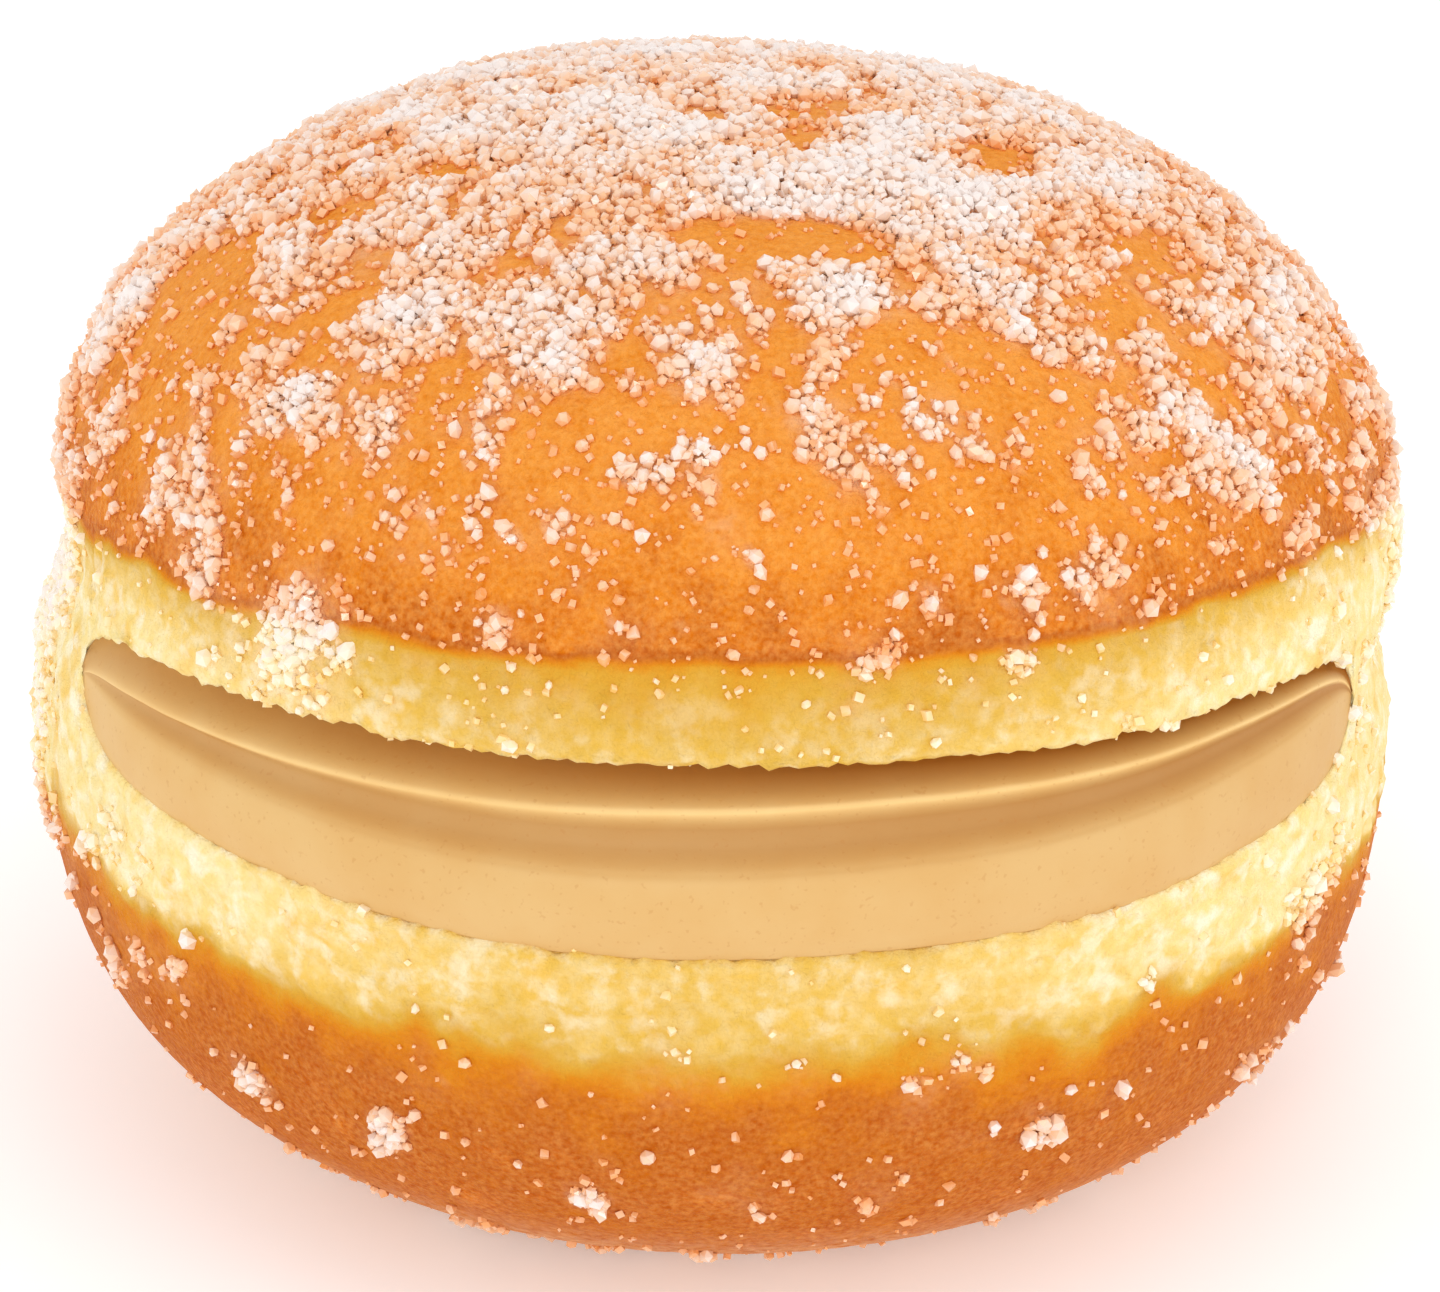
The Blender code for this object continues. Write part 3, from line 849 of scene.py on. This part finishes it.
def scattered(mesh, weights, count, spacing, draw):
    # spots on a mesh and its normals there, spread by a weight for each vertex, none nearer than spacing
    corners, places = meshArrays(mesh)
    a, b, c = (places[corners[:, k]] for k in range(3))
    normals = np.cross(b - a, c - a)
    areas = np.linalg.norm(normals, axis=1)
    normals /= np.maximum(areas, 1e-15)[:, None]  # no face is quite without area
    chances = areas * weights[corners].mean(1)
    tries = grainRule["tries"] * count
    faces = draw.choice(len(corners), tries, p=chances / chances.sum())
    u, v = draw.random(tries), draw.random(tries)
    over = u + v > 1
    u[over], v[over] = 1 - u[over], 1 - v[over]
    spots = a[faces] + (b - a)[faces] * u[:, None] + (c - a)[faces] * v[:, None]
    cells, kept = {}, []
    for k, cell in enumerate(map(tuple, np.floor(spots / spacing).astype(int))):
        near = (
            other
            for x in (-1, 0, 1)
            for y in (-1, 0, 1)
            for z in (-1, 0, 1)
            for other in cells.get((cell[0] + x, cell[1] + y, cell[2] + z), ())
        )
        if all(((spots[k] - spots[other]) ** 2).sum() > spacing**2 for other in near):
            cells.setdefault(cell, []).append(k)
            kept.append(k)
            if len(kept) == count:
                break
    kept, at = np.array(kept), faces[kept]
    return spots[kept], normals[at], corners[at]


def kernelOf(kind):
    bm = bmesh.new()
    if kind == "block":
        bmesh.ops.create_cube(bm, size=1.0)
    else:
        bmesh.ops.create_icosphere(bm, subdivisions=1, radius=0.5)
    bmesh.ops.triangulate(bm, faces=bm.faces)
    places = np.array([vert.co[:] for vert in bm.verts])
    corners = np.array([[vert.index for vert in face.verts] for face in bm.faces])
    bm.free()
    return places, corners


def turnedAtRandom(count, draw):
    q = draw.normal(size=(count, 4))
    w, x, y, z = (q / np.linalg.norm(q, axis=1)[:, None]).T
    rows = [
        [1 - 2 * (y * y + z * z), 2 * (x * y - z * w), 2 * (x * z + y * w)],
        [2 * (x * y + z * w), 1 - 2 * (x * x + z * z), 2 * (y * z - x * w)],
        [2 * (x * z - y * w), 2 * (y * z + x * w), 1 - 2 * (x * x + y * y)],
    ]
    return np.moveaxis(np.array(rows), 2, 0)


def grainWeights(mesh, values):
    # how likely a grain is at each vertex of the dough
    brown = storedValues(mesh, "brown")
    cover = storedValues(mesh, "cover")
    heights = meshArrays(mesh)[1][:, 2] / mm
    highUp = ramped(heights, *grainRule["upFrom"])
    onCrust = ramped(brown, *grainRule["brownFrom"])
    weights = values["spread"] * highUp * onCrust + cover ** values["power"] * (0.5 + 0.5 * onCrust)
    outside = storedValues(mesh, "depth") == 0
    return weights * (outside & (heights > grainRule["foot"]))


def makeGrains(name, values, dough, material):
    # one mesh of many uneven grains, each turned at random where it lies
    draw = np.random.default_rng(values["seed"])
    weights = grainWeights(dough.data, values)
    spots, normals, near = scattered(dough.data, weights, values["count"], values["spacing"] * mm, draw)
    layers = ("cover", "brown", "thick")
    cover, brown, thick = (storedValues(dough.data, layer)[near].mean(1) for layer in layers)
    count = len(spots)
    low, high = values["size"]
    sizes = (low + (high - low) * draw.random(count) ** grainRule["smallerSizes"]) * mm
    piled = draw.random(count) ** 2 * cover**2 * values["pile"] * mm
    crustShare = ramped(brown, *sugarLook["crustFrom"])
    sink = values["sink"] + grainRule["deeperInCrumb"] * (1 - crustShare)
    spots = spots + normals * (sizes * (0.5 - sink) + piled * crustShare)[:, None]

    places, corners = kernelOf(values["kind"])
    stretch = draw.uniform(*grainRule["stretch"], (count, 1, 3))
    uneven = draw.uniform(*grainRule["uneven"], (count, len(places), 1))
    shaped = places[None] * uneven * stretch * sizes[:, None, None]
    shaped = np.einsum("nij,nkj->nki", turnedAtRandom(count, draw), shaped) + spots[:, None]
    shaped[..., 2] = np.maximum(shaped[..., 2], 0)  # none reaches through the floor
    allCorners = corners[None] + (np.arange(count) * len(places))[:, None, None]
    mesh = bpy.data.meshes.new(name)
    mesh.from_pydata(shaped.reshape(-1, 3), [], allCorners.reshape(-1, 3).tolist())

    # from the deep colour at -1 through the clear one, both taken from the dough below, to white at 1
    crustShare = crustShare[:, None]
    clear = blended(sugarLook["overCrumb"], sugarLook["overCrust"], crustShare)[:, None, None]
    deep = blended(sugarLook["deepCrumb"], sugarLook["deepCrust"], crustShare)[:, None, None]
    heaps = np.array([noise.noise(Vector(spot) / sugarLook["clusterSize"]) for spot in spots])
    whiteness = values["thin"] + (sugarLook["thick"] - values["thin"]) * thick + sugarLook["clusters"] * heaps
    whiteness += sugarLook["single"] * (draw.random(count) - 0.5) + sugarLook["piled"] * piled / piled.max()
    # each grain whiter towards its top and deeper at its foot: painted light above and painted shade below,
    # partly the dough seen through the clear grain
    above = np.einsum("nvk,nk->nv", shaped - spots[:, None], normals) / sizes[:, None]
    whiteness = (whiteness[:, None] + sugarLook["foot"] * above)[:, corners]
    # each face of a grain whiter or deeper at random: painted glints
    whiteness += sugarLook["paintedFacetGlints"] * (draw.random((count, len(corners), 1)) - 0.5)
    colours = blended(clear, sugarLook["white"], np.clip(whiteness, 0, 1)[..., None])
    colours = blended(colours, deep, np.clip(-whiteness, 0, 1)[..., None])
    attribute = mesh.attributes.new("tint", "FLOAT_COLOR", "CORNER")
    attribute.data.foreach_set("color", colours.astype(np.float32).ravel())
    mesh.materials.append(material)
    made = bpy.data.objects.new(name, mesh)
    bpy.context.scene.collection.objects.link(made)
    print(name, count, "grains")
    return made


# Stage

cameraView = {
    "elevation": math.radians(28.1),
    "distance": 1.19,
    "roll": math.radians(1.1),
    "pictureWidth": 1440,
    "pixelsPerMetre": 14907,  # at the bun's waist
    "middle": Vector((-0.8, 9.0)),  # pixels from the bun's waist to the picture's middle, right and down
    "sensorWidth": 36,  # mm
    "clipEnd": 20,
}


def makeCamera():
    back = Vector((0, -math.cos(cameraView["elevation"]), math.sin(cameraView["elevation"])))
    turned = back.to_track_quat("Z", "Y").to_matrix() @ Matrix.Rotation(cameraView["roll"], 3, "Z")
    right, up = turned.col[0], turned.col[1]
    waist = Vector((0, 0, -bun["footLevel"]))
    middle = cameraView["middle"]
    aim = waist + (right * middle.x - up * middle.y) / cameraView["pixelsPerMetre"]
    data = bpy.data.cameras.new("camera")
    data.sensor_width = cameraView["sensorWidth"]
    timesWidth = cameraView["pixelsPerMetre"] * cameraView["distance"] / cameraView["pictureWidth"]
    data.lens = timesWidth * data.sensor_width
    data.clip_end = cameraView["clipEnd"]
    camera = bpy.data.objects.new("camera", data)
    camera.matrix_world = Matrix.Translation(aim + back * cameraView["distance"]) @ turned.to_4x4()
    bpy.context.scene.collection.objects.link(camera)
    bpy.context.scene.camera = camera


studio = {
    "floorReach": 3.0,  # from its middle to each side
    "floorColour": (0.92, 0.92, 0.92, 1),
    "floorRoughness": 0.9,
    "floorGlow": 0.22,  # so that it comes out nearly white
    "worldColour": (1, 1, 1, 1),
    "worldStrength": 0.95,
    "lightsAim": Vector((0, 0, 0.03)),
    # name, place, size, power in watts
    "lights": (
        ("front softbox", (-0.15, -0.85, 0.46), 0.25, 1.15),
        ("top softbox", (0.10, -0.10, 0.90), 0.8, 0.6),
        ("left softbox", (-0.90, -0.35, 0.30), 0.5, 0.15),
        ("right softbox", (0.90, -0.35, 0.30), 0.5, 1.0),
    ),
}


def makeFloor():
    bm = bmesh.new()
    bmesh.ops.create_grid(bm, x_segments=1, y_segments=1, size=studio["floorReach"])
    material, _, shader = newMaterial("pale floor", studio["floorRoughness"])
    shader.inputs["Base Color"].default_value = studio["floorColour"]
    shader.inputs["Specular IOR Level"].default_value = 0.0
    shader.inputs["Emission Color"].default_value = (1, 1, 1, 1)
    shader.inputs["Emission Strength"].default_value = studio["floorGlow"]
    floor = addObject("floor", bm, material)


def makeLights():
    for name, place, size, power in studio["lights"]:
        data = bpy.data.lights.new(name, "AREA")
        data.size = size
        data.energy = power
        lamp = bpy.data.objects.new(name, data)
        lamp.location = place
        lamp.rotation_euler = (studio["lightsAim"] - Vector(place)).to_track_quat("-Z", "Y").to_euler()
        bpy.context.scene.collection.objects.link(lamp)
    world = bpy.data.worlds.new("studio")
    world.use_nodes = True
    background = world.node_tree.nodes["Background"]
    background.inputs["Color"].default_value = studio["worldColour"]
    background.inputs["Strength"].default_value = studio["worldStrength"]
    bpy.context.scene.world = world
    bpy.context.scene.view_settings.view_transform = "Standard"


def main():
    speckGroup()
    dough = makeBun(doughMaterial())
    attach(dough, "root")
    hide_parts("bun")
    print("bun made,", len(dough.data.polygons), "faces")

    filling = makeCream(creamMaterial())
    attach(filling, "root")
    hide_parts("caramel_cream")
    print("cream made,", len(filling.data.polygons), "faces")

    crystals = sugarMaterial()
    for name, values in grains.items():
        piece = makeGrains(name, values, dough, crystals)
        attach(piece, "root")
    print("sugar scattered")

    makeCamera()
    makeFloor()
    makeLights()


main()
